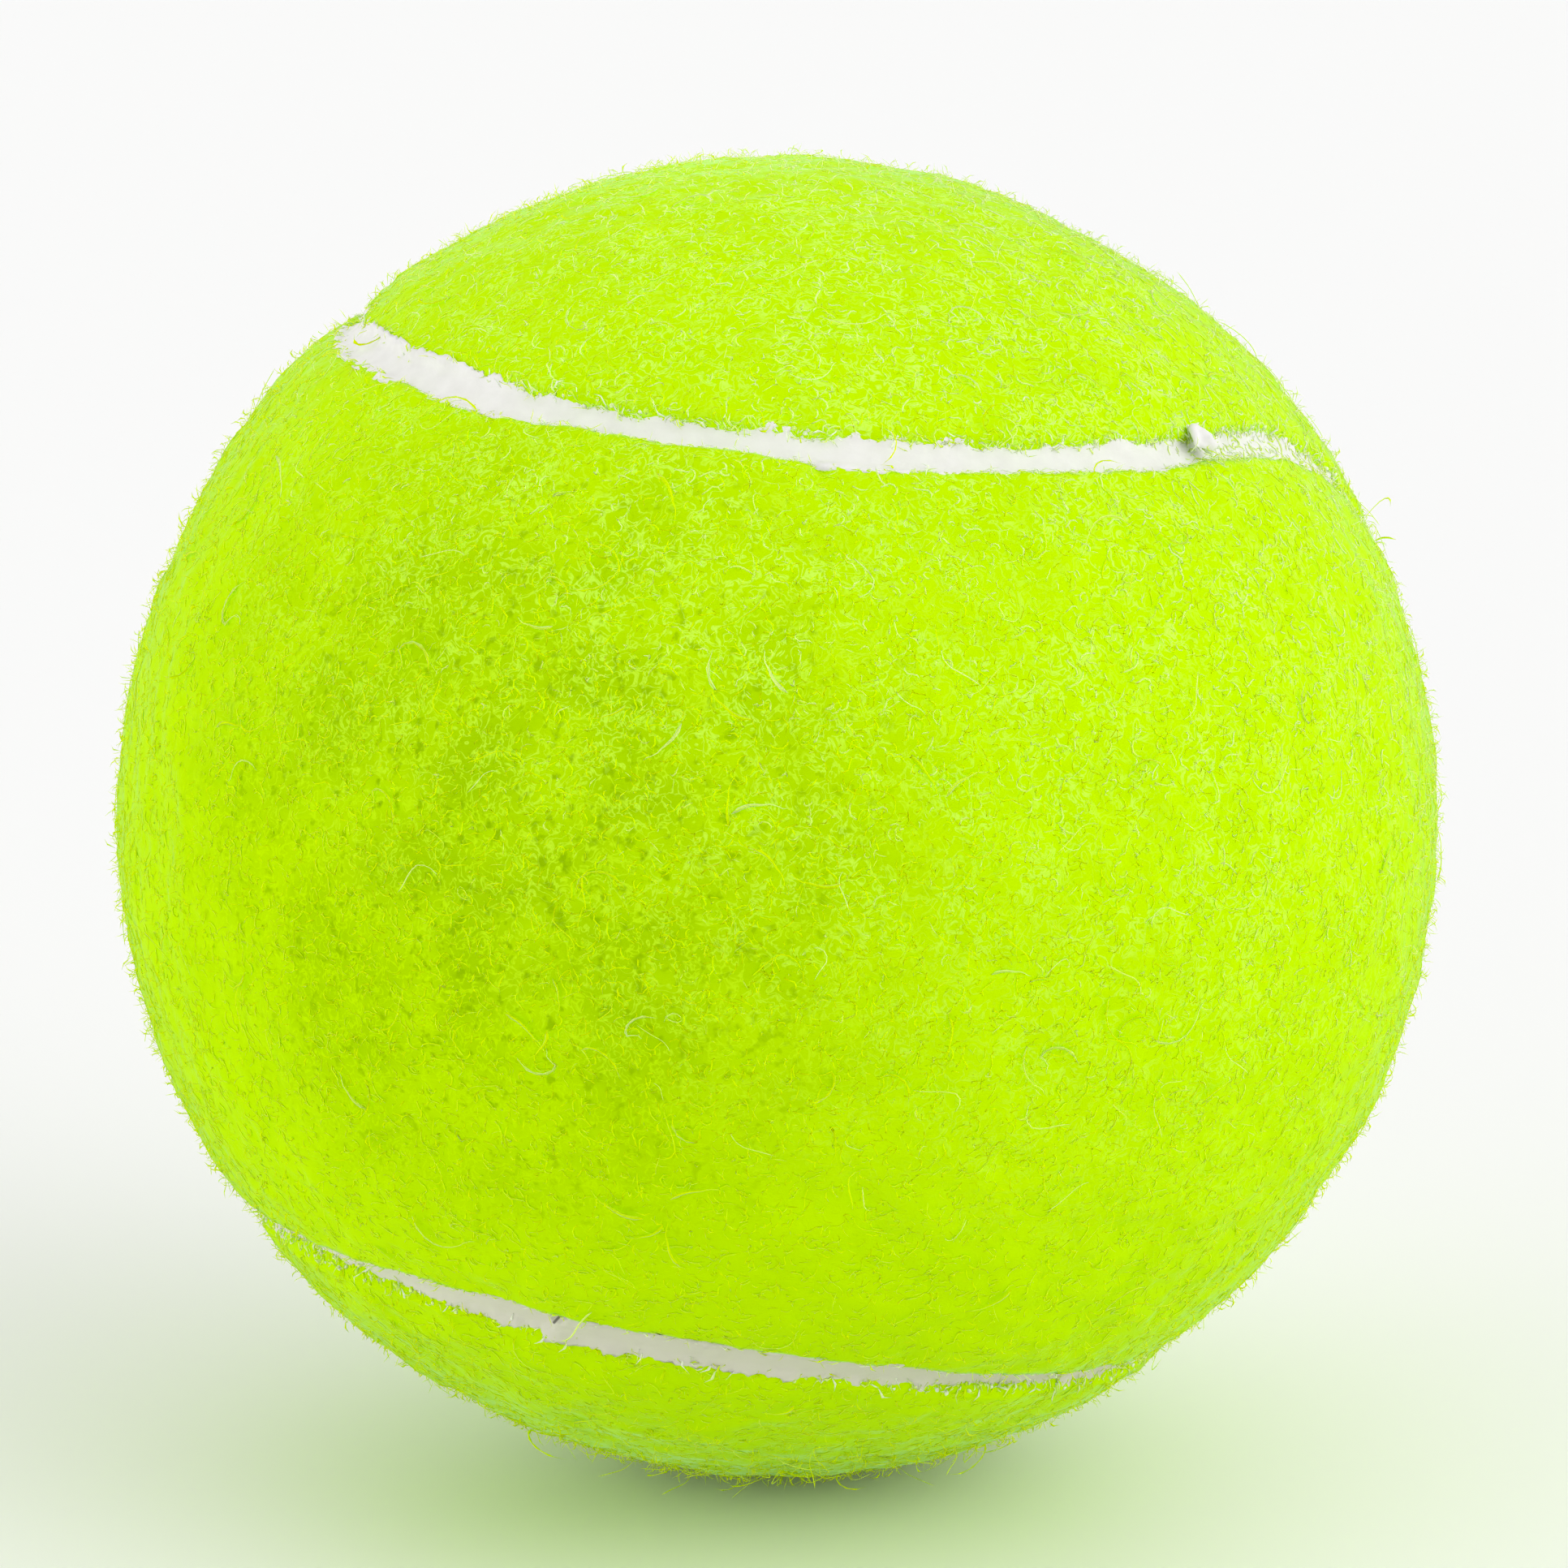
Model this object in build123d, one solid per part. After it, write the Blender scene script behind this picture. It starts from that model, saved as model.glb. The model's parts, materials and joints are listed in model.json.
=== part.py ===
from build123d import *
import math
import os

# Sizes of the ball, in millimetres
BALL_DIAMETER = 67.0  # over the felt
FELT_THICKNESS = 3.3  # backing cloth and nap together
CEMENT_THICKNESS = 0.2  # rubber cement under each felt panel
CORE_WALL = 3.4  # moulded rubber half shells
CORE_BOND = 0.4  # rubber solution between the edges of the half shells
FELT_WAIST = 48.0  # narrowest part of a felt panel, measured along the ball's surface
SEAM_WIDTH = 1.4  # between the cut edges of the two felt panels
SEAM_RECESS = 0.8  # how far the seam rubber lies below the felt
SHOULDER_RADIUS = 1.6  # rounding of the felt where it dips towards the seam

# How the ball lies on the table, in degrees: its seam turned about X, then Y, then Z
LIE_TILT = 83.0
LIE_TURN = -35.0
LIE_ROLL = -9.0

# Radii of the layers, from the nap inwards
felt_outer = BALL_DIAMETER / 2
felt_inner = felt_outer - FELT_THICKNESS
core_outer = felt_inner - CEMENT_THICKNESS
core_inner = core_outer - CORE_WALL
seam_outer = felt_outer - SEAM_RECESS

# The seam runs over the ball in four circular arcs that flow into each other, each about its own axis
# through the ball's centre. The waist sets how far those axes lean from the ball's middle plane.
nearest_angle = math.pi / 2 - FELT_WAIST / felt_outer / 2
arc_lean = math.atan((math.cos(nearest_angle) - math.sqrt(0.5)) / math.sin(nearest_angle))
arc_opening = nearest_angle + arc_lean
arc_half_sweep = math.degrees(math.atan2(1, math.sin(arc_lean)))
arc_frame = Plane(
    origin=(0, 0, 0),
    x_dir=(math.sin(arc_lean), 0, -math.cos(arc_lean)),
    z_dir=(math.cos(arc_lean), 0, math.sin(arc_lean)),
)
diagonal = Axis((0, 0, 0), (1, 1, 0))

# The groove between the panels: its walls point at the ball's centre, and curve away over the shoulders
groove_half_angle = SEAM_WIDTH / felt_outer / 2
shoulder_centre = felt_outer - SHOULDER_RADIUS
shoulder_angle = math.asin(SHOULDER_RADIUS / shoulder_centre)
shoulder_foot = math.sqrt(shoulder_centre**2 - SHOULDER_RADIUS**2)


def section_point(radius, angle):
    """A point of the sections that are swept round an arc's axis."""
    return Vector(radius * math.sin(angle), radius * math.cos(angle))


def section_arc(radius, start, end):
    """An arc about the ball's centre, in a section."""
    angles = (start, (start + end) / 2, end)
    return ThreePointArc(*(section_point(radius, angle) for angle in angles))


def groove_wall(side, bottom, top):
    """One wall of the groove between two radii, with the angle that its top ends at."""
    angle = arc_opening + side * groove_half_angle
    if top <= shoulder_foot:
        return [Line(section_point(bottom, angle), section_point(top, angle))], angle
    rise = (shoulder_centre**2 + top**2 - SHOULDER_RADIUS**2) / (2 * shoulder_centre * top)
    top_angle = angle + side * (shoulder_angle - math.acos(min(rise, 1)))
    foot = section_point(shoulder_foot, angle)
    straight = Line(section_point(bottom, angle), foot)
    rounded = TangentArc(foot, section_point(top, top_angle), tangent=section_point(1, angle))
    return [straight, rounded], top_angle


def swept(edges):
    """Sweeps a closed section along one arc of the seam."""
    section = (Plane.XZ * make_face(edges)).rotate(Axis.Z, -arc_half_sweep)
    return arc_frame * revolve(section, Axis.Z, 2 * arc_half_sweep)


def rounded_end(bottom, top):
    """The part of a layer inside one arc: the rounded end of a panel."""
    wall, wall_angle = groove_wall(-1, bottom, top)
    axis_line = Line(section_point(bottom, 0), section_point(top, 0))
    wall_foot = arc_opening - groove_half_angle
    return swept([axis_line, section_arc(top, 0, wall_angle), *wall, section_arc(bottom, 0, wall_foot)])


def waist_side(bottom, top):
    """The part of a layer outside one arc, up to the ball's middle: one side of a panel's waist."""
    wall, wall_angle = groove_wall(1, bottom, top)
    far_angle = math.pi / 2 + abs(arc_lean) + groove_half_angle
    far_line = Line(section_point(bottom, far_angle), section_point(top, far_angle))
    wall_foot = arc_opening + groove_half_angle
    outlines = [section_arc(top, wall_angle, far_angle), section_arc(bottom, wall_foot, far_angle)]
    clear_of_ball = 2 * BALL_DIAMETER
    half_space = Box(*[clear_of_ball] * 3, align=(Align.MIN, Align.CENTER, Align.CENTER))
    return swept([*wall, far_line, *outlines]) & half_space


def opposite(piece):
    """The same piece on the other side of the ball."""
    return piece.rotate(Axis.Z, 180)


def interlocked(piece):
    """The same piece as it lies on the other panel."""
    return piece.rotate(diagonal, 180)


def panel_pair(bottom, top):
    """Both panels of one layer, as the two dog-bone blanks that lock into each other."""
    half = interlocked(waist_side(bottom, top)).fuse(rounded_end(bottom, top))
    front = half.fuse(opposite(half))
    return front, interlocked(front)


def seam_loop():
    """The rubber that fills the groove from the core up to its recess, as one closed loop."""
    low_wall, low_top = groove_wall(-1, core_outer, seam_outer)
    high_wall, high_top = groove_wall(1, core_outer, seam_outer)
    crown = section_arc(seam_outer, low_top, high_top)
    sole = section_arc(core_outer, arc_opening - groove_half_angle, arc_opening + groove_half_angle)
    arc = swept([*low_wall, crown, *high_wall, sole])
    return arc.fuse(interlocked(arc), opposite(arc), opposite(interlocked(arc)))


def core_layer(low, high):
    """The part of the core's wall between two heights."""
    slab = Box(BALL_DIAMETER, BALL_DIAMETER, high - low, align=(Align.CENTER, Align.CENTER, Align.MIN))
    return (Sphere(core_outer) - Sphere(core_inner)) & (Pos(0, 0, low) * slab)


core_half = core_layer(CORE_BOND / 2, BALL_DIAMETER / 2)
cement_front, cement_back = panel_pair(core_outer, felt_inner)
felt_front, felt_back = panel_pair(felt_inner, felt_outer)
lie = Rotation(LIE_TILT, LIE_TURN, LIE_ROLL)

pieces = {
    "core_half_upper": core_half,
    "core_half_lower": core_half.rotate(Axis.X, 180),
    "core_bond_ring": core_layer(-CORE_BOND / 2, CORE_BOND / 2),
    "cement_coat_front": lie * cement_front,
    "cement_coat_back": lie * cement_back,
    "felt_panel_front": lie * felt_front,
    "felt_panel_back": lie * felt_back,
    "seam_rubber": lie * seam_loop(),
}
os.makedirs("parts", exist_ok=True)
for name, piece in pieces.items():
    export_step(piece, f"parts/{name}.step")
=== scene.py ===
import json
import math
import random

import bpy
import numpy as np
from mathutils import Euler, Matrix, Vector

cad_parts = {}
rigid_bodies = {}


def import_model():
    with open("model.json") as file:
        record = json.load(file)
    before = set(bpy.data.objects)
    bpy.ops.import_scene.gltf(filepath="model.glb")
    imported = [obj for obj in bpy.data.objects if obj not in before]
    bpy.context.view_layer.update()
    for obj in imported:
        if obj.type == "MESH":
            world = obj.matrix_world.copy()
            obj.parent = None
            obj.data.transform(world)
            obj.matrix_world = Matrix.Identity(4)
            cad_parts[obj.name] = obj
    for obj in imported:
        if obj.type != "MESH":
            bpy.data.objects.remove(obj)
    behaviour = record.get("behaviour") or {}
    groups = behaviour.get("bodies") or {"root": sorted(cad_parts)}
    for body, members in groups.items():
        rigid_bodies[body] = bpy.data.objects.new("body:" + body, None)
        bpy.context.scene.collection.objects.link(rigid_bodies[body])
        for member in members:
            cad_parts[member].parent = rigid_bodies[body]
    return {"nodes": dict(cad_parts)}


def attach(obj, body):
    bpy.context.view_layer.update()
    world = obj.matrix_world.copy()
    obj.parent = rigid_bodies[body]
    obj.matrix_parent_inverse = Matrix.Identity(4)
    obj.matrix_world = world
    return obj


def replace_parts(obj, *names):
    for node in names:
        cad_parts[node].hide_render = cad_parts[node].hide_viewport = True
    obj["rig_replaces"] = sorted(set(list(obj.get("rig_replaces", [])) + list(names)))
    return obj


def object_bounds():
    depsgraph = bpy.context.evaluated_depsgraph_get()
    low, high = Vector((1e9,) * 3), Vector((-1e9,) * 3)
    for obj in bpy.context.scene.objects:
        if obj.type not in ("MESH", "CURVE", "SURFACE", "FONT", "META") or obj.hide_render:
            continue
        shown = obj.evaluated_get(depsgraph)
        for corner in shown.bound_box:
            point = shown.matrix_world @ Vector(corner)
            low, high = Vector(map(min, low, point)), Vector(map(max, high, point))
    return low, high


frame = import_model()
cad_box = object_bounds()

# Core halves. Two half shells of natural rubber, moulded under heat and ground matt on the outside so
# that the cement takes. They hold the gas that makes the ball bounce, and are hidden under the felt.
mm = 0.001


def linear(colour):
    """An sRGB hex colour as linear red, green, blue and opacity."""
    channels = [int(colour[i : i + 2], 16) / 255 for i in (1, 3, 5)]
    return (*[c / 12.92 if c <= 0.04045 else ((c + 0.055) / 1.055) ** 2.4 for c in channels], 1.0)


def add_node(tree, kind, inputs=None, **settings):
    """Adds a node with its settings, and gives each listed input its value or its link."""
    node = tree.nodes.new(kind)
    for name, value in settings.items():
        setattr(node, name, value)
    for name, value in (inputs or {}).items():
        if isinstance(value, bpy.types.NodeSocket):
            tree.links.new(value, node.inputs[name])
        else:
            node.inputs[name].default_value = value
    return node


def new_material(name):
    """An empty material and its node tree."""
    material = bpy.data.materials.new(name)
    material.use_nodes = True
    material.node_tree.nodes.clear()
    return material, material.node_tree


# Black natural rubber: matt and slightly mottled, with the fine scratches that grinding leaves.
core_rubber, tree = new_material("ground_natural_rubber")
place = add_node(tree, "ShaderNodeTexCoord").outputs["Object"]
mottle = add_node(tree, "ShaderNodeTexNoise", {"Vector": place, "Scale": 1 / (4 * mm), "Detail": 4.0})
grind = add_node(tree, "ShaderNodeTexNoise", {"Vector": place, "Scale": 1 / (0.3 * mm), "Detail": 3.0})
shade = add_node(tree, "ShaderNodeMix", {
    0: mottle.outputs["Fac"], 6: linear("#1F1E1D"), 7: linear("#3A3836")}, data_type="RGBA")
scratches = add_node(tree, "ShaderNodeBump", {
    "Height": grind.outputs["Fac"], "Strength": 0.4, "Distance": 0.05 * mm})
skin = add_node(tree, "ShaderNodeBsdfPrincipled", {
    "Base Color": shade.outputs[2], "Roughness": 0.85, "IOR": 1.52, "Normal": scratches.outputs["Normal"]})
add_node(tree, "ShaderNodeOutputMaterial", {"Surface": skin.outputs["BSDF"]})
for name in ("core_half_upper", "core_half_lower"):
    frame["nodes"][name].material_slots[0].material = core_rubber

# Bond ring. A film of rubber solution between the edges of the half shells, cured in the press that
# joins them into one hollow core.
# Cured rubber solution: dark brown, smooth and a little glossy where it was squeezed out.
bond_rubber, tree = new_material("cured_rubber_solution")
place = add_node(tree, "ShaderNodeTexCoord").outputs["Object"]
ripple = add_node(tree, "ShaderNodeTexNoise", {"Vector": place, "Scale": 1 / (1.5 * mm), "Detail": 2.0})
shade = add_node(tree, "ShaderNodeMix", {
    0: ripple.outputs["Fac"], 6: linear("#3B332C"), 7: linear("#5A5048")}, data_type="RGBA")
waves = add_node(tree, "ShaderNodeBump", {
    "Height": ripple.outputs["Fac"], "Strength": 0.3, "Distance": 0.1 * mm})
skin = add_node(tree, "ShaderNodeBsdfPrincipled", {
    "Base Color": shade.outputs[2], "Roughness": 0.45, "IOR": 1.52, "Normal": waves.outputs["Normal"]})
add_node(tree, "ShaderNodeOutputMaterial", {"Surface": skin.outputs["BSDF"]})
frame["nodes"]["core_bond_ring"].material_slots[0].material = bond_rubber

# Cement coats. Rubber cement brushed on the back of each felt panel, which bonds it to the core.
# Dried rubber cement: amber, blotchy where the brush left more of it, with a soft gloss.
cement, tree = new_material("dried_rubber_cement")
place = add_node(tree, "ShaderNodeTexCoord").outputs["Object"]
blotch = add_node(tree, "ShaderNodeTexNoise", {"Vector": place, "Scale": 1 / (3 * mm), "Detail": 3.0})
shade = add_node(tree, "ShaderNodeMix", {
    0: blotch.outputs["Fac"], 6: linear("#B09A66"), 7: linear("#D8C89A")}, data_type="RGBA")
runs = add_node(tree, "ShaderNodeBump", {
    "Height": blotch.outputs["Fac"], "Strength": 0.4, "Distance": 0.1 * mm})
skin = add_node(tree, "ShaderNodeBsdfPrincipled", {
    "Base Color": shade.outputs[2], "Roughness": 0.5, "IOR": 1.5, "Normal": runs.outputs["Normal"]})
add_node(tree, "ShaderNodeOutputMaterial", {"Surface": skin.outputs["BSDF"]})
for name in ("cement_coat_front", "cement_coat_back"):
    frame["nodes"][name].material_slots[0].material = cement

# Felt panels. Two equal dog-bone blanks of wool and nylon felt, die-cut, cemented to the core so that
# they lock into each other, then steamed until the nap stands and rounds over their edges.
ball_radius = (cad_box[1][0] - cad_box[0][0]) / 2
felt_thickness = 3.3 * mm
standing_nap = 0.3 * mm
edge_gap = 0.9 * mm
felt_back_radius = ball_radius - felt_thickness
felt_radius = ball_radius - standing_nap
lie = Euler([math.radians(angle) for angle in (83, -35, -9)], "ZYX").to_matrix()
front = lie @ Vector((0, 0, 1))

# The nap is painted palest towards the side the lamps light most (painted highlight), and painted duller and
# darker on the less lit side (painted shade)
lamp_lit_side = Vector((0.5, -0.1, 0.86))
shaded_side = Vector((-0.4, -0.9, 0.17))

# The seam is four arcs, each about its own axis through the ball's centre, a waist's width apart
waist = 48 * mm
nearest_angle = math.pi / 2 - waist / ball_radius / 2
arc_lean = math.atan((math.cos(nearest_angle) - math.sqrt(0.5)) / math.sin(nearest_angle))
arc_opening = nearest_angle + arc_lean
arc_sweep = 2 * math.atan2(1, math.sin(arc_lean))
across, along = math.cos(arc_lean), math.sin(arc_lean)
arc_axes = [lie @ Vector((across, 0, along)), lie @ Vector((0, -across, -along)),
            lie @ Vector((-across, 0, along)), lie @ Vector((0, across, -along))]
arc_middles = [lie @ Vector((along, 0, -across)), lie @ Vector((0, -along, across)),
               lie @ Vector((-along, 0, -across)), lie @ Vector((0, along, across))]


def pick(mesh, edges=None, faces=None):
    """Selects the listed edges or faces of a mesh and nothing else."""
    for elements, chosen in ((mesh.vertices, None), (mesh.edges, edges), (mesh.polygons, faces)):
        elements.foreach_set("select", np.zeros(len(elements), bool) if chosen is None else chosen)
    bpy.context.tool_settings.mesh_select_mode = (False, faces is None, faces is not None)


def numbers(elements, name, width):
    """One property of all vertices, edges or faces, as rows of numbers."""
    values = np.empty(len(elements) * width)
    elements.foreach_get(name, values)
    return values.reshape(-1, width)


def cut_blanks(radius, fineness, tolerance, sink):
    """A ball's skin cut along both edges of the seam, as the front and the back blank."""
    bpy.ops.object.select_all(action="DESELECT")
    bpy.ops.mesh.primitive_ico_sphere_add(subdivisions=fineness, radius=radius)
    ball = bpy.context.object
    facet = 80 * mm / 2**fineness
    for axis, middle in zip(arc_axes, arc_middles):
        for side in (-1, 1):
            opening = arc_opening + side * edge_gap / ball_radius / 2
            centres = numbers(ball.data.polygons, "center", 3)
            bearing = np.arctan2(centres @ axis.cross(middle), centres @ middle)
            pick(ball.data, faces=np.abs(bearing) < arc_sweep / 2 + 0.5 * facet / radius)
            bpy.ops.object.mode_set(mode="EDIT")
            bpy.ops.mesh.select_mode(type="EDGE")
            cut = axis * radius * math.cos(opening)
            bpy.ops.mesh.bisect(plane_co=cut, plane_no=axis, threshold=tolerance)
            bpy.ops.mesh.mark_seam(clear=False)
            bpy.ops.object.mode_set(mode="OBJECT")
    pick(ball.data, edges=numbers(ball.data.edges, "use_seam", 1)[:, 0] > 0)
    bpy.ops.object.mode_set(mode="EDIT")
    for depth, reach in sink:
        bpy.ops.transform.resize(
            value=[1 - depth / radius] * 3, center_override=(0, 0, 0), use_proportional_edit=True,
            proportional_edit_falloff="SMOOTH", proportional_size=reach)
    bpy.ops.mesh.edge_split(type="EDGE")
    bpy.ops.mesh.separate(type="LOOSE")
    bpy.ops.object.mode_set(mode="OBJECT")
    strip, *blanks = sorted(bpy.context.selected_objects, key=lambda piece: len(piece.data.polygons))
    bpy.data.objects.remove(strip)
    return sorted(blanks, key=lambda blank: -(numbers(blank.data.vertices, "co", 3).mean(0) @ front))


def finish_with(piece, kind, **settings):
    """Adds a modifier to a piece and applies it."""
    modifier = piece.modifiers.new(kind.lower(), kind)
    for name, value in settings.items():
        setattr(modifier, name, value)
    bpy.context.view_layer.objects.active = piece
    bpy.ops.object.modifier_apply(modifier=modifier.name)


def lumps(name, size, depth):
    """A cloudy height pattern, for uneven soft or torn surfaces."""
    pattern = bpy.data.textures.new(name, "CLOUDS")
    pattern.noise_scale = size
    pattern.noise_depth = depth
    return pattern


# The felt is uneven by a few tenths of a millimetre: slow swells, tufts of nap, and pits between them
swells = lumps("felt_swells", 9 * mm, 1)
tufts = lumps("felt_tufts", 2.2 * mm, 1)
pits = lumps("felt_pits", 0.8 * mm, 1)

# Wool and nylon felt: bright yellow-green, matted from fine curly fibres, painted paler than the mat on the
# side the lamps light most (painted highlight), painted darker between them and in the pits on the less lit
# side (painted shade), with the pale bloom that nap shows at a low angle. The painted fibres lie 0.75 mm
# apart, far coarser than real ones, because those would not show.
felt, tree = new_material("wool_nylon_felt")
place = add_node(tree, "ShaderNodeTexCoord").outputs["Object"]
patches = add_node(tree, "ShaderNodeTexNoise", {"Vector": place, "Scale": 1 / (4.5 * mm), "Detail": 3.0})
fibres = add_node(tree, "ShaderNodeTexNoise", {
    "Vector": place, "Scale": 1 / (0.75 * mm), "Detail": 2.5, "Roughness": 0.55, "Distortion": 1.2})
ridge = add_node(tree, "ShaderNodeMath", {0: fibres.outputs["Fac"], 1: 0.5}, operation="SUBTRACT")
ridge = add_node(tree, "ShaderNodeMath", {0: ridge.outputs[0]}, operation="ABSOLUTE")
lines = add_node(tree, "ShaderNodeMapRange", {
    "Value": ridge.outputs[0], "From Min": 0.0, "From Max": 0.05, "To Min": 1.0, "To Max": 0.0})
hollow = add_node(tree, "ShaderNodeTexNoise", {"Vector": place, "Scale": 1 / (0.6 * mm), "Detail": 2.0})
hollow = add_node(tree, "ShaderNodeMapRange", {
    "Value": hollow.outputs["Fac"], "From Min": 0.3, "From Max": 0.42, "To Min": 1.0, "To Max": 0.0})
clumps = add_node(tree, "ShaderNodeTexNoise", {"Vector": place, "Scale": 1 / (2.4 * mm), "Detail": 2.0})
clumps = add_node(tree, "ShaderNodeMapRange", {
    "Value": clumps.outputs["Fac"], "From Min": 0.42, "From Max": 0.62, "To Min": 0.2, "To Max": 1.0})
curls = add_node(tree, "ShaderNodeMath", {
    0: lines.outputs[0], 1: clumps.outputs[0]}, operation="MULTIPLY")
# Painted highlight: pale threads show only towards the side the lamps light most
lit_side_share = add_node(tree, "ShaderNodeVectorMath", {
    0: place, 1: lamp_lit_side / felt_radius}, operation="DOT_PRODUCT")
lit_side_share = add_node(tree, "ShaderNodeMapRange", {
    "Value": lit_side_share.outputs["Value"], "From Min": -0.2, "From Max": 0.9})
lit_pale_threads = add_node(tree, "ShaderNodeMath", {
    0: curls.outputs[0], 1: lit_side_share.outputs[0]}, operation="MULTIPLY")
mat = add_node(tree, "ShaderNodeMix", {
    0: patches.outputs["Fac"], 6: linear("#B8E600"), 7: linear("#C2EE00")}, data_type="RGBA")
# Painted shade: the less lit front-left side is painted duller between the fibres and darker in its pits
shade_share = add_node(tree, "ShaderNodeVectorMath", {0: place, 1: shaded_side / felt_radius}, operation="DOT_PRODUCT")
shade_share = add_node(tree, "ShaderNodeMapRange", {
    "Value": shade_share.outputs["Value"], "From Min": 0.76, "From Max": 1.0})
dull_shade = add_node(tree, "ShaderNodeMapRange", {
    "Value": patches.outputs["Fac"], "From Min": 0.38, "From Max": 0.62, "To Min": 0.9, "To Max": 0.4})
dull_shade = add_node(tree, "ShaderNodeMath", {0: dull_shade.outputs[0], 1: shade_share.outputs[0]}, operation="MULTIPLY")
between = add_node(tree, "ShaderNodeMath", {0: 1.0, 1: lines.outputs[0]}, operation="SUBTRACT")
dull_shade = add_node(tree, "ShaderNodeMath", {0: dull_shade.outputs[0], 1: between.outputs[0]}, operation="MULTIPLY")
dull_shaded = add_node(tree, "ShaderNodeMix", {
    0: dull_shade.outputs[0], 6: mat.outputs[2], 7: linear("#9CC800")}, data_type="RGBA")
# Painted shade in the pits, on the less lit side only
depth = add_node(tree, "ShaderNodeMath", {0: hollow.outputs[0], 1: shade_share.outputs[0]}, operation="MULTIPLY")
pit_shaded = add_node(tree, "ShaderNodeMix", {
    0: depth.outputs[0], 6: dull_shaded.outputs[2], 7: linear("#90BA00")}, data_type="RGBA")
# The pale threads are painted in, a painted highlight on the lit side
thread = add_node(tree, "ShaderNodeMix", {
    0: lit_pale_threads.outputs[0], 6: pit_shaded.outputs[2], 7: linear("#D0FF68")}, data_type="RGBA")
height = add_node(tree, "ShaderNodeMath", {
    0: curls.outputs[0], 1: hollow.outputs[0]}, operation="SUBTRACT")
fuzz = add_node(tree, "ShaderNodeBump", {
    "Height": height.outputs[0], "Strength": 0.2, "Distance": 0.08 * mm})
skin = add_node(tree, "ShaderNodeBsdfPrincipled", {
    "Base Color": thread.outputs[2], "Roughness": 0.9, "Specular IOR Level": 0.0, "Sheen Weight": 0.9,
    "Sheen Roughness": 0.22, "Sheen Tint": linear("#C8FFC8"), "Normal": fuzz.outputs["Normal"]})
add_node(tree, "ShaderNodeOutputMaterial", {"Surface": skin.outputs["BSDF"]})

napped = cut_blanks(felt_radius, 8, 0.02 * mm, [(0.9 * mm, 0.6 * mm), (0.25 * mm, 3 * mm)])
backing = cut_blanks(felt_back_radius, 6, 0.12 * mm, [])
panels = []
for name, panel, back in zip(("felt_panel_front", "felt_panel_back"), napped, backing):
    for pattern, depth in ((swells, 0.55 * mm), (tufts, 0.35 * mm), (pits, 0.12 * mm)):
        finish_with(panel, "DISPLACE", texture=pattern, texture_coords="LOCAL", strength=depth,
                    mid_level=0.5)
    bpy.ops.object.select_all(action="DESELECT")
    bpy.context.view_layer.objects.active = back
    pick(back.data, faces=np.ones(len(back.data.polygons), bool))
    bpy.ops.object.mode_set(mode="EDIT")
    bpy.ops.mesh.flip_normals()
    bpy.ops.object.mode_set(mode="OBJECT")
    panel.select_set(True)
    back.select_set(True)
    bpy.context.view_layer.objects.active = panel
    bpy.ops.object.join()
    pick(panel.data, edges=np.zeros(len(panel.data.edges), bool))
    bpy.ops.object.mode_set(mode="EDIT")
    bpy.ops.mesh.select_non_manifold(extend=False)
    bpy.ops.mesh.bridge_edge_loops()
    bpy.ops.mesh.select_all(action="SELECT")
    bpy.ops.mesh.normals_make_consistent(inside=False)
    bpy.ops.object.mode_set(mode="OBJECT")
    bpy.ops.object.shade_smooth()
    panel.name = "napped_" + name
    panel.data.materials.append(felt)
    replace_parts(panel, name)
    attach(panel, "root")
    panels.append(panel)

# Seam rubber. White rubber cured in the groove between the felt panels, sunk below the nap, as one closed
# loop with ragged sides where it soaked into the felt. Its ends lap over each other at the front.
seam_radius = ball_radius - 1.0 * mm
core_radius = felt_back_radius - 0.2 * mm
seam_start = lie @ Vector((1, 1, 0)).normalized()
seam_heading = arc_axes[0].cross(seam_start).normalized()
seam_side = seam_heading.cross(seam_start)

# Half the strip's section, as half widths in millimetres with radii: a foot between the felt's cut edges,
# then a thin lip that climbs over the felt's rounded edge, and the crown between the lips
profile = [(0.5, core_radius), (0.5, seam_radius - 0.6 * mm), (0.85, seam_radius - 0.25 * mm),
           (1.12, seam_radius + 0.1 * mm), (1.15, seam_radius + 0.3 * mm),
           (0.98, seam_radius + 0.27 * mm), (0.8, seam_radius + 0.15 * mm),
           (0.6, seam_radius + 0.05 * mm), (0.4, seam_radius), (0.2, seam_radius)]
profile = profile + [(0.0, seam_radius)] + [(-half, radius) for half, radius in reversed(profile)]

bpy.ops.object.select_all(action="DESELECT")
bpy.ops.mesh.primitive_circle_add(vertices=len(profile), radius=1 * mm, fill_type="NOTHING")
seam = bpy.context.object
seam.name = "seam_strip"
flange = seam.vertex_groups.new(name="flange")
for vertex, (half, radius) in zip(seam.data.vertices, profile):
    vertex.co = seam_start * radius + seam_side * half * mm
    flange.add([vertex.index], min(1, 0.1 + 0.8 * abs(half) ** 3), "REPLACE")
pick(seam.data, edges=np.ones(len(seam.data.edges), bool))
bpy.ops.object.mode_set(mode="EDIT")
for axis, turn in zip(arc_axes, (1, -1, 1, -1)):
    bpy.ops.mesh.spin(steps=380, angle=turn * arc_sweep, center=(0, 0, 0), axis=axis)
bpy.ops.mesh.select_all(action="SELECT")
bpy.ops.mesh.remove_doubles(threshold=0.02 * mm)
bpy.ops.mesh.normals_make_consistent(inside=False)
bpy.ops.object.mode_set(mode="OBJECT")
bpy.ops.object.shade_smooth()


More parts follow.
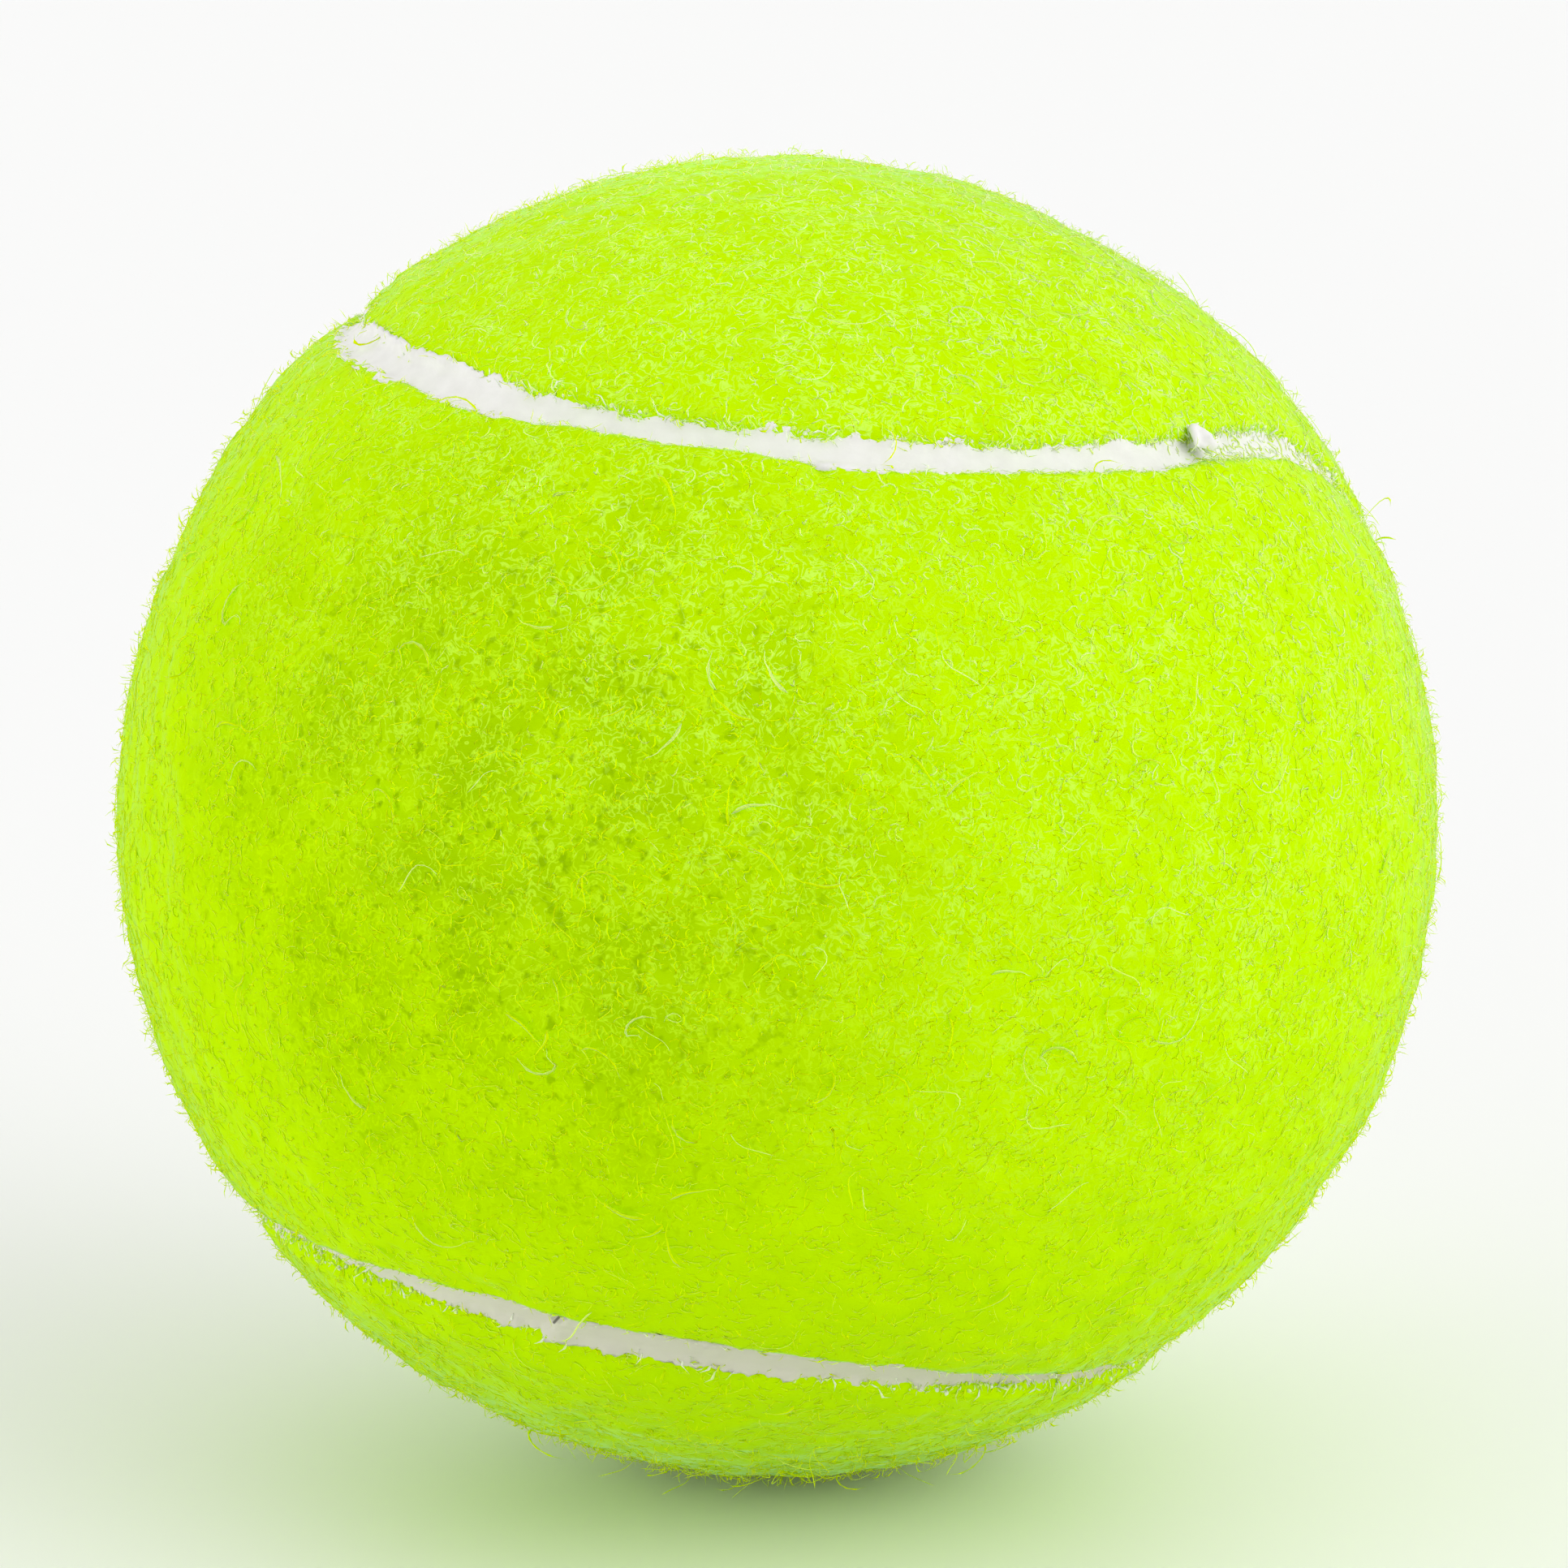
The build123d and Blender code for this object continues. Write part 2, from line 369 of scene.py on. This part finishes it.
def raise_edges(mesh, edges, height, reach):
    """Lifts the listed edges off the ball's centre, and what lies within reach of them along with them."""
    pick(mesh, edges=edges)
    bpy.ops.object.mode_set(mode="EDIT")
    bpy.ops.transform.resize(value=[1 + height / seam_radius] * 3, center_override=(0, 0, 0),
                             use_proportional_edit=reach > 0, proportional_edit_falloff="SMOOTH",
                             proportional_size=max(reach, 1 * mm))
    bpy.ops.object.mode_set(mode="OBJECT")


def edge_middles(mesh):
    """The middles of a mesh's edges."""
    return numbers(mesh.vertices, "co", 3)[numbers(mesh.edges, "vertices", 2).astype(int)].mean(1)


# The strip stands higher and so shows wider in some places, and is sunk and half buried in others
for place, height, reach in (
        ((-0.59, -0.28, 0.76), 0.25 * mm, 14 * mm), ((0.72, -0.32, 0.62), -0.12 * mm, 12 * mm),
        ((-0.66, -0.49, -0.57), -0.1 * mm, 12 * mm), ((0.3, 0.9, 0.3), 0.2 * mm, 14 * mm)):
    nearness = edge_middles(seam.data) / seam_radius @ Vector(place)
    raise_edges(seam.data, nearness > nearness.max() - 0.001, height, reach)

# The lap: on one side of a slanting line the strip is the end that lies on top, with a crack at its edge
lap = Vector((-0.319, -0.74, -0.592)) * seam_radius
slant = Vector((0.73, -0.14, -0.67))
beyond = numbers(seam.data.polygons, "center", 3) - np.array(lap)
pick(seam.data, faces=(beyond @ slant < 0) & (np.linalg.norm(beyond, axis=1) < 40 * mm))
bpy.ops.object.mode_set(mode="EDIT")
bpy.ops.mesh.hide(unselected=False)
bpy.ops.object.mode_set(mode="OBJECT")
beyond = edge_middles(seam.data) - np.array(lap)
near_lap = np.linalg.norm(beyond, axis=1) < 1.6 * mm
raise_edges(seam.data, near_lap & (beyond @ slant > 0), 0.2 * mm, 22 * mm)
bpy.ops.object.mode_set(mode="EDIT")
bpy.ops.mesh.reveal(select=False)
bpy.ops.object.mode_set(mode="OBJECT")
beyond = edge_middles(seam.data) - np.array(lap)
in_crack = near_lap & (np.abs(beyond @ slant) < 0.12 * mm) & (beyond[:, 2] > -0.3 * mm)
raise_edges(seam.data, in_crack, -0.9 * mm, 0)

# The strip swells slowly along its length, and its lips are torn and crumbled
for pattern, depth in ((lumps("seam_swells", 14 * mm, 0), 0.15 * mm),
                       (lumps("seam_lumps", 1.3 * mm, 1), 0.55 * mm),
                       (lumps("seam_crumbs", 0.4 * mm, 1), 0.45 * mm)):
    finish_with(seam, "DISPLACE", texture=pattern, texture_coords="LOCAL", strength=depth, mid_level=0.5,
                vertex_group="flange")

# A torn flake of the rubber that stands up out of the groove
bpy.ops.object.select_all(action="DESELECT")
bpy.ops.mesh.primitive_ico_sphere_add(subdivisions=4, radius=0.75 * mm)
flake = bpy.context.object
flake.scale = (1.2, 0.9, 0.35)
bpy.ops.object.transform_apply(scale=True)
finish_with(flake, "DISPLACE", texture=lumps("flake", 0.7 * mm, 1), texture_coords="LOCAL",
            strength=0.7 * mm, mid_level=0.5)
bpy.ops.object.shade_smooth()
place = Vector((0.611, -0.453, 0.65)) * felt_radius
flake.data.transform(Matrix.Translation(place) @ place.to_track_quat("Z", "Y").to_matrix().to_4x4())
seam.select_set(True)
bpy.context.view_layer.objects.active = seam
bpy.ops.object.join()

# White vulcanised rubber: matt off-white and cloudy, with a fine moulded grain, painted warm grey towards
# the underside (painted shade), and a painted dark shadow line in the crack at the lap.
seam_rubber, tree = new_material("white_vulcanised_rubber")
place = add_node(tree, "ShaderNodeTexCoord").outputs["Object"]
cloud = add_node(tree, "ShaderNodeTexNoise", {"Vector": place, "Scale": 1 / (1.2 * mm), "Detail": 3.0})
grain = add_node(tree, "ShaderNodeTexNoise", {"Vector": place, "Scale": 1 / (0.25 * mm), "Detail": 2.0})
white = add_node(tree, "ShaderNodeMix", {
    0: cloud.outputs["Fac"], 6: linear("#DCDBD6"), 7: linear("#F1F0ED")}, data_type="RGBA")
# Painted shade: the strip is painted warm grey towards the underside, where less light falls
shaded_underside = Vector((0, -0.6, -0.8))
underside_shade = add_node(tree, "ShaderNodeVectorMath", {
    0: place, 1: shaded_underside / seam_radius}, operation="DOT_PRODUCT")
underside_shade = add_node(tree, "ShaderNodeMapRange", {
    "Value": underside_shade.outputs["Value"], "From Min": 0.2, "From Max": 0.9})
white = add_node(tree, "ShaderNodeMix", {
    0: underside_shade.outputs[0], 6: white.outputs[2], 7: linear("#D2D0C0")}, data_type="RGBA")
# Painted shadow: a dark line painted along the crack at the lap, where the upper end stands over the lower
offset = add_node(tree, "ShaderNodeVectorMath", {0: place, 1: lap}, operation="SUBTRACT")
beside = add_node(tree, "ShaderNodeVectorMath", {0: offset.outputs[0], 1: slant}, operation="DOT_PRODUCT")
beside = add_node(tree, "ShaderNodeMath", {0: beside.outputs["Value"]}, operation="ABSOLUTE")
beside = add_node(tree, "ShaderNodeMapRange", {
    "Value": beside.outputs[0], "From Min": 0.04 * mm, "From Max": 0.09 * mm, "To Min": 1.0, "To Max": 0.0})
along_crack = lap.normalized().cross(slant)
above = add_node(tree, "ShaderNodeVectorMath", {
    0: offset.outputs[0], 1: along_crack}, operation="DOT_PRODUCT")
above = add_node(tree, "ShaderNodeMath", {0: above.outputs["Value"]}, operation="ABSOLUTE")
above = add_node(tree, "ShaderNodeMath", {0: above.outputs[0], 1: 0.55 * mm}, operation="LESS_THAN")
crack = add_node(tree, "ShaderNodeMath", {
    0: beside.outputs[0], 1: above.outputs[0]}, operation="MULTIPLY")
white = add_node(tree, "ShaderNodeMix", {
    0: crack.outputs[0], 6: white.outputs[2], 7: linear("#6E6C62")}, data_type="RGBA")
moulding = add_node(tree, "ShaderNodeBump", {
    "Height": grain.outputs["Fac"], "Strength": 0.3, "Distance": 0.05 * mm})
skin = add_node(tree, "ShaderNodeBsdfPrincipled", {
    "Base Color": white.outputs[2], "Roughness": 0.6, "IOR": 1.52, "Normal": moulding.outputs["Normal"]})
add_node(tree, "ShaderNodeOutputMaterial", {"Surface": skin.outputs["BSDF"]})
seam.data.materials.append(seam_rubber)
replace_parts(seam, "seam_rubber")
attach(seam, "root")

# Nap. Loose ends of the wool and nylon fibres, teased out of the felt by brushing and steam: most lie on
# it in curls, some stand off it. Each is rooted in its panel. All but the shortest are drawn thicker than
# a real fibre of 0.03 mm, because that would not show in the render.


def strand(name, length, thickness, rise, hooks, rings, root):
    """One fibre along X: a three-sided thread, pointed at both ends, arched by its rise, with two hooks."""
    step = length / (rings + 1)
    bpy.ops.object.select_all(action="DESELECT")
    bpy.ops.mesh.primitive_cone_add(
        vertices=3, radius1=thickness / 2, radius2=0, depth=step, end_fill_type="NOTHING",
        rotation=(-math.pi / 2, 0, math.pi / 2), calc_uvs=False)
    bpy.ops.object.transform_apply(rotation=True)
    fibre = bpy.context.object
    fibre.name = name
    sides = numbers(fibre.data.edges, "vertices", 2).astype(int)
    pick(fibre.data, edges=(numbers(fibre.data.vertices, "co", 3)[sides, 0] > 0).all(1))
    bpy.ops.object.mode_set(mode="EDIT")
    for k in range(1, rings + 1):
        climb = rise * (math.sin(math.pi * (k + 1) / (rings + 1)) - math.sin(math.pi * k / (rings + 1)))
        bpy.ops.mesh.extrude_region_move(TRANSFORM_OT_translate={"value": (step, 0, climb)})
    bpy.ops.mesh.merge(type="CENTER")
    bpy.ops.mesh.select_all(action="SELECT")
    bpy.ops.mesh.normals_make_consistent(inside=False)
    bpy.ops.transform.translate(value=(step / 2 - root * length, 0, 0))
    bpy.ops.object.mode_set(mode="OBJECT")
    bpy.ops.object.shade_smooth()
    reach = numbers(fibre.data.vertices, "co", 3)[:, 0]
    spots = fibre.data.uv_layers.new(name="OFBake")
    for loop in fibre.data.loops:
        height = (reach[loop.vertex_index] - reach.min()) / length
        spots.data[loop.index].uv = (loop.vertex_index % 3 / 2, height)
    for hook, part in zip(hooks, ((0, 0.5), (0.5, 1))):
        finish_with(fibre, "SIMPLE_DEFORM", deform_method="BEND", deform_axis="Z", angle=hook, limits=part)
    return fibre


# Nap fibre: the felt's yellow-green, soft and a little see-through, each fibre lighter or darker than the
# next at random, some pale at random, painted paler up to white on the side the lamps light most (painted
# highlight) and darker on the other side (painted shade), and those along the seam nearly white.
nap, tree = new_material("wool_nylon_fibre")
spot = add_node(tree, "ShaderNodeUVMap", uv_map="OFBake")
spot = add_node(tree, "ShaderNodeSeparateXYZ", {"Vector": spot.outputs["UV"]})
tint = add_node(tree, "ShaderNodeMapRange", {
    "Value": spot.outputs["X"], "From Min": 0.0, "From Max": 0.6})
dyed = add_node(tree, "ShaderNodeMix", {
    0: tint.outputs[0], 6: linear("#BCEA00"), 7: linear("#C8F400")}, data_type="RGBA")
pale_and_lit = add_node(tree, "ShaderNodeMapRange", {
    "Value": spot.outputs["X"], "From Min": 0.6, "From Max": 0.75})
pale = add_node(tree, "ShaderNodeMix", {
    0: pale_and_lit.outputs[0], 6: dyed.outputs[2], 7: linear("#D6FF84")}, data_type="RGBA")
coat = add_node(tree, "ShaderNodeMapRange", {
    "Value": spot.outputs["X"], "From Min": 0.78, "From Max": 0.88})
white = add_node(tree, "ShaderNodeMix", {
    0: coat.outputs[0], 6: pale.outputs[2], 7: linear("#E8F6D0")}, data_type="RGBA")
skin = add_node(tree, "ShaderNodeBsdfPrincipled", {
    "Base Color": white.outputs[2], "Roughness": 0.8, "Specular IOR Level": 0.0, "Subsurface Weight": 1.0,
    "Subsurface Radius": (1.0, 1.0, 1.0), "Subsurface Scale": 0.1 * mm,
    "Sheen Weight": 0.3, "Sheen Roughness": 0.25, "Sheen Tint": linear("#C8FFC8")})
add_node(tree, "ShaderNodeOutputMaterial", {"Surface": skin.outputs["BSDF"]})


def grow(panel, name, strands, thickly, around, within, lift, sizes, tones, seed, near=((0, 0, 0), -1, 0)):
    """Fibres on a piece, so many to a square millimetre, rooted where its skin lies near a radius."""
    grown = panel.copy()
    grown.data = panel.data.copy()
    grown.name = name
    del grown["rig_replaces"]
    bpy.context.scene.collection.objects.link(grown)
    group = bpy.data.node_groups.new(name, "GeometryNodeTree")
    group.interface.new_socket("Geometry", in_out="INPUT", socket_type="NodeSocketGeometry")
    group.interface.new_socket("Geometry", in_out="OUTPUT", socket_type="NodeSocketGeometry")
    skin = add_node(group, "NodeGroupInput").outputs[0]
    spot = add_node(group, "GeometryNodeInputPosition").outputs[0]
    height = add_node(group, "ShaderNodeVectorMath", {0: spot}, operation="LENGTH")
    gap = add_node(group, "ShaderNodeMath", {0: height.outputs["Value"], 1: around}, operation="SUBTRACT")
    gap = add_node(group, "ShaderNodeMath", {0: gap.outputs[0]}, operation="ABSOLUTE")
    density = add_node(group, "ShaderNodeMapRange", {
        "Value": gap.outputs[0], "From Min": within - 0.3 * mm, "From Max": within,
        "To Min": thickly / mm**2, "To Max": 0.0})
    toward = add_node(group, "ShaderNodeVectorMath", {0: spot, 1: Vector(near[0]) / around},
                      operation="DOT_PRODUCT")
    share = add_node(group, "ShaderNodeMapRange", {
        "Value": toward.outputs["Value"], "From Min": near[1], "From Max": near[2]})
    density = add_node(group, "ShaderNodeMath", {0: density.outputs[0], 1: share.outputs[0]},
                       operation="MULTIPLY")
    roots = add_node(group, "GeometryNodeDistributePointsOnFaces", {
        "Mesh": skin, "Density": density.outputs[0], "Seed": seed}, distribute_method="RANDOM")
    kinds = add_node(group, "GeometryNodeCollectionInfo", {
        "Collection": strands, "Separate Children": True, "Reset Children": True})
    turn = add_node(group, "FunctionNodeRandomValue", {
        0: (-0.15, -lift[1], 0), 1: (0.15, -lift[0], 2 * math.pi), "Seed": seed + 1},
        data_type="FLOAT_VECTOR")
    turn = add_node(group, "FunctionNodeEulerToRotation", {0: turn.outputs[0]})
    lay = add_node(group, "FunctionNodeRotateRotation", {
        "Rotation": roots.outputs["Rotation"], "Rotate By": turn.outputs[0]}, rotation_space="LOCAL")
    size = add_node(group, "FunctionNodeRandomValue", {2: sizes[0], 3: sizes[1], "Seed": seed + 2},
                    data_type="FLOAT")
    kind = add_node(group, "FunctionNodeRandomValue", {4: 0, 5: len(strands.objects) - 1, "Seed": seed + 3},
                    data_type="INT")
    spread = add_node(group, "GeometryNodeInstanceOnPoints", {
        "Points": roots.outputs["Points"], "Instance": kinds.outputs[0], "Pick Instance": True,
        "Instance Index": kind.outputs[2], "Rotation": lay.outputs[0], "Scale": size.outputs[1]})
    tone = add_node(group, "FunctionNodeRandomValue", {2: tones[0], 3: tones[1], "Seed": seed + 4},
                    data_type="FLOAT")
    # Painted light and shade: fibres towards the side the lamps light most are painted paler, and on the
    # other side darker
    facing = add_node(group, "ShaderNodeVectorMath", {0: spot, 1: lamp_lit_side / felt_radius},
                      operation="DOT_PRODUCT")
    tone = add_node(group, "ShaderNodeMath", {0: facing.outputs["Value"], 1: tones[2], 2: tone.outputs[1]},
                    operation="MULTIPLY_ADD")
    toned = add_node(group, "GeometryNodeStoreNamedAttribute", {
        "Geometry": spread.outputs[0], "Name": "tone", "Value": tone.outputs[0]},
        data_type="FLOAT", domain="INSTANCE")
    joined = add_node(group, "GeometryNodeRealizeInstances", {"Geometry": toned.outputs[0]})
    tone = add_node(group, "GeometryNodeInputNamedAttribute", {"Name": "tone"}, data_type="FLOAT")
    dab = add_node(group, "GeometryNodeInputNamedAttribute", {"Name": "OFBake"}, data_type="FLOAT_VECTOR")
    dab = add_node(group, "ShaderNodeSeparateXYZ", {0: dab.outputs[0]})
    wide = add_node(group, "ShaderNodeMath", {0: dab.outputs[0], 1: 0.02, 2: tone.outputs[0]},
                    operation="MULTIPLY_ADD")
    dab = add_node(group, "ShaderNodeCombineXYZ", {0: wide.outputs[0], 1: dab.outputs[1]})
    painted = add_node(group, "GeometryNodeStoreNamedAttribute", {
        "Geometry": joined.outputs[0], "Name": "OFBake", "Value": dab.outputs[0]},
        data_type="FLOAT2", domain="CORNER")
    add_node(group, "NodeGroupOutput", {0: painted.outputs[0]})
    finish_with(grown, "NODES", node_group=group)
    # What would hang through the table is pressed flat on it
    tips = numbers(grown.data.vertices, "co", 3)
    tips[:, 2] -= 0.95 * np.minimum(tips[:, 2] + ball_radius - 0.1 * mm, 0)
    grown.data.vertices.foreach_set("co", tips.ravel())
    for spare in ("tone", "id", "UVMap"):
        grown.data.attributes.remove(grown.data.attributes[spare])
    grown.data.materials.clear()
    grown.data.materials.append(nap)
    # Real fibres are so fine that light passes between them, so these thicker ones cast no shadow
    grown.visible_shadow = False
    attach(grown, "root")


def sort_of_fibre(name, *makings):
    """A collection of like fibres to pick from, each made as strand says."""
    bundle = bpy.data.collections.new(name)
    for k, making in enumerate(makings):
        fibre = strand(f"{name}_{k}", *making)
        for owner in fibre.users_collection:
            owner.objects.unlink(fibre)
        bundle.objects.link(fibre)
    return bundle


chance = random.Random(5)


def hooks(bend):
    """The bends of a fibre's two halves, by chance, up to a limit either way."""
    return chance.uniform(-bend, bend), chance.uniform(-bend, bend)


matted = sort_of_fibre("matted", *[
    (chance.uniform(0.7, 1.3) * mm, 0.05 * mm, 0.03 * mm, hooks(2), 2, 0.5) for k in range(8)])
curled = sort_of_fibre("curled", *[
    (chance.uniform(0.4, 1.2) * mm, 0.07 * mm, 0.04 * mm, hooks(3), 4, 0.5) for k in range(10)])
upright = sort_of_fibre("upright", *[
    (chance.uniform(0.3, 0.65) * mm, 0.03 * mm, 0, hooks(2), 2, 0) for k in range(8)])
fringe = sort_of_fibre("fringe", *[
    (chance.uniform(0.4, 0.9) * mm, 0.06 * mm, 0.05 * mm, hooks(2), 2, 0.2) for k in range(8)], *[
    (chance.uniform(0.25, 0.4) * mm, 0.2 * mm, 0, (0, 0), 2, 0.5) for k in range(2)])
loose = sort_of_fibre("loose", *[
    (chance.uniform(1.6, 3.4) * mm, 0.04 * mm, 0.1 * mm, hooks(2.6), 8, 0.1) for k in range(10)])

# Most fibres root on the open felt, which lies within reach of this radius, and the fringe on its cut edges
nap_radius = felt_radius + 0.6 * mm
nap_reach = 1.2 * mm
for panel, side, seed in ((panels[0], "front", 100), (panels[1], "back", 200)):
    grow(panel, f"felt_matted_{side}", matted, thickly=1.45, around=nap_radius, within=nap_reach,
         lift=(-0.06, 0.06), sizes=(0.7, 1.3), tones=(0.0, 0.6, 0.1), seed=seed)
    for part in ("a", "b"):
        grow(panel, f"felt_curled_{side}_{part}", curled, thickly=0.82, around=nap_radius,
             within=nap_reach, lift=(-0.06, 0.06), sizes=(0.7, 1.3), tones=(0.27, 0.57, 0.27), seed=seed + 5)
        grow(panel, f"felt_upright_{side}_{part}", upright, thickly=1.3, around=nap_radius,
             within=nap_reach, lift=(0.4, 1.4), sizes=(0.7, 1.3), tones=(0.42, 0.61, 0.2), seed=seed + 10)
        seed += 15
    grow(panel, f"felt_loose_{side}", loose, thickly=0.09, around=nap_radius, within=nap_reach,
         lift=(0.0, 0.3), sizes=(0.7, 1.2), tones=(0.4, 0.68, 0.1), seed=seed + 20)
    grow(panel, f"felt_fringe_{side}", fringe, thickly=41, around=felt_radius - 0.82 * mm, within=0.42 * mm,
         lift=(0.0, 0.6), sizes=(0.7, 1.3), tones=(0.55, 0.96, 0.0), seed=seed)

# Threads trail on the table under the ball, and felt has grown over one end of the seam
underside = ((0, -0.4, -0.92), 0.88, 0.96)
grow(panels[1], "felt_trailing_back", loose, thickly=0.25, around=nap_radius, within=nap_reach,
     lift=(0.2, 1.2), sizes=(0.6, 1.1), tones=(0.3, 0.62, 0.0), seed=290, near=underside)
buried = ((0.76, -0.25, 0.6), 0.93, 0.975)
grow(seam, "felt_over_seam", curled, thickly=7, around=seam_radius + 0.2 * mm, within=0.7 * mm,
     lift=(-0.1, 0.3), sizes=(0.8, 1.4), tones=(0.6, 0.9, 0.0), seed=300, near=buried)

# One thread that has come loose and lies across the lap of the seam
thread = strand("felt_thread_over_seam", 3.8 * mm, 0.1 * mm, 0.25 * mm, (0.4, -0.5), 8, 0.5)
for corner in thread.data.uv_layers["OFBake"].data:
    corner.uv.x = 0.7 + 0.02 * corner.uv.x
outward = Vector((-0.289, -0.754, -0.59)).normalized()
heading = Vector((-0.25, 0.65, -0.71))
laid = Matrix((heading, outward.cross(heading), outward)).transposed().to_4x4()
thread.data.transform(Matrix.Translation(outward * (felt_radius - 0.05 * mm)) @ laid)
thread.data.materials.append(nap)
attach(thread, "root")

# The fibres that the nap was copied from are not part of the ball
for bundle in (matted, curled, upright, fringe, loose):
    for fibre in list(bundle.objects):
        bpy.data.objects.remove(fibre)

# Studio. A seamless pale table under broad soft lamps, and a long lens a little above the ball. The lamps
# are in the world, and the camera and reflections see a plain white room in their place.
bpy.ops.object.select_all(action="DESELECT")
bpy.ops.mesh.primitive_plane_add(size=6, location=(0, 0, -ball_radius))
table = bpy.context.object
table.name = "table"
paper, tree = new_material("white_paper")
skin = add_node(tree, "ShaderNodeBsdfPrincipled", {
    "Base Color": linear("#F3F3F2"), "Roughness": 0.45, "IOR": 1.5})
add_node(tree, "ShaderNodeOutputMaterial", {"Surface": skin.outputs["BSDF"]})
table.data.materials.append(paper)

world = bpy.data.worlds.new("studio")
bpy.context.scene.world = world
world.use_nodes = True
world.node_tree.nodes.clear()
tree = world.node_tree
way = add_node(tree, "ShaderNodeTexCoord").outputs["Generated"]
level = 0.0
for lamp, sharpness, strength in (
        ((1, 0, 0.15), 4, 1.25), ((0.75, -0.45, 0.45), 10, 3.0), ((-1, -0.1, 0), 8, 4.4),
        ((-0.7, -0.7, 0.1), 8, 1.2), ((0, -1, 0), 6, 0.45), ((0, 0, 1), 4, 1.15), ((0, 1, 0.2), 4, 1.5)):
    facing = add_node(tree, "ShaderNodeVectorMath", {0: way, 1: Vector(lamp).normalized()},
                      operation="DOT_PRODUCT")
    facing = add_node(tree, "ShaderNodeMath", {0: facing.outputs["Value"], 1: 0.0}, operation="MAXIMUM")
    falloff = add_node(tree, "ShaderNodeMath", {0: facing.outputs[0], 1: sharpness}, operation="POWER")
    level = add_node(tree, "ShaderNodeMath", {0: falloff.outputs[0], 1: strength, 2: level},
                     operation="MULTIPLY_ADD").outputs[0]
ray = add_node(tree, "ShaderNodeLightPath")
seen = add_node(tree, "ShaderNodeMath", {
    0: ray.outputs["Is Camera Ray"], 1: ray.outputs["Is Glossy Ray"]}, operation="MAXIMUM")
seen = add_node(tree, "ShaderNodeMath", {
    0: seen.outputs[0], 1: ray.outputs["Is Transmission Ray"]}, operation="MAXIMUM")
level = add_node(tree, "ShaderNodeMix", {0: seen.outputs[0], 2: level, 3: 0.98}, data_type="FLOAT")
glow = add_node(tree, "ShaderNodeBackground", {"Color": (1, 1, 1, 1), "Strength": level.outputs[0]})
add_node(tree, "ShaderNodeOutputWorld", {"Surface": glow.outputs[0]})

lens = bpy.data.cameras.new("camera")
lens.sensor_width = 36
lens.lens = 152
lens.shift_x = 0.0039
lens.shift_y = 0.0205
lens.clip_start = 0.01
camera = bpy.data.objects.new("camera", lens)
elevation = math.radians(12)
eye = Vector((0, -math.cos(elevation), math.sin(elevation))) * 10 * ball_radius
camera.location = eye
camera.rotation_euler = eye.to_track_quat("Z", "Y").to_euler()
bpy.context.scene.collection.objects.link(camera)
bpy.context.scene.camera = camera
bpy.context.scene.view_settings.view_transform = "Standard"
